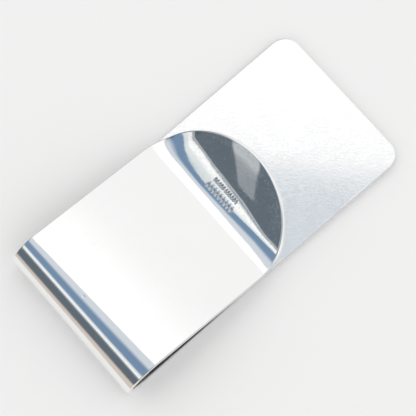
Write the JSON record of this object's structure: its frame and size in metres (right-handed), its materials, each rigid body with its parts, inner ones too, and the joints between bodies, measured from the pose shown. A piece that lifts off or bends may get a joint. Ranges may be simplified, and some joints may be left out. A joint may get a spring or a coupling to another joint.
{
  "type": "money clip",
  "caption": "Folded spring-strip money clip: flat back plate, U bend, sloping front arm and half-round flared thumb lip, in polished silver.",
  "frame": {"origin": "under the middle of the clip's overall length and width, on the back face that it lies on", "axes": "+X from the folded bend to the free end of the back plate, +Y across the strip, +Z from the back face towards the front arm"},
  "size_m": [0.0524, 0.0254, 0.0066],
  "materials": {
    "polished_silver": "mirror-polished sterling silver with a few fine handling scratches and softened edges",
    "worn_silver": "polished sterling silver with fine random hairline scratches and a slight haze"
  },
  "bodies": {
    "back": {"back_plate": "worn_silver"},
    "bend": {"spring_bend": "polished_silver"},
    "front": {"front_arm": "polished_silver", "thumb_lip": "polished_silver"}
  },
  "joints": [
    {"name": "lower_flex", "type": "hinge", "parent": "back", "child": "bend", "pos_m": [-0.02339, 0, 0.0005], "axis": [0, -1, 0], "range_deg": [0, 4], "stiffness_Nm_per_rad": 21.2},
    {"name": "upper_flex", "type": "hinge", "parent": "bend", "child": "front", "pos_m": [-0.02054, 0, 0.00581], "axis": [0, -1, 0], "range_deg": [0, 4]}
  ],
  "couplings": [
    {"joint": "upper_flex", "follows": "lower_flex", "ratio": 1}
  ]
}
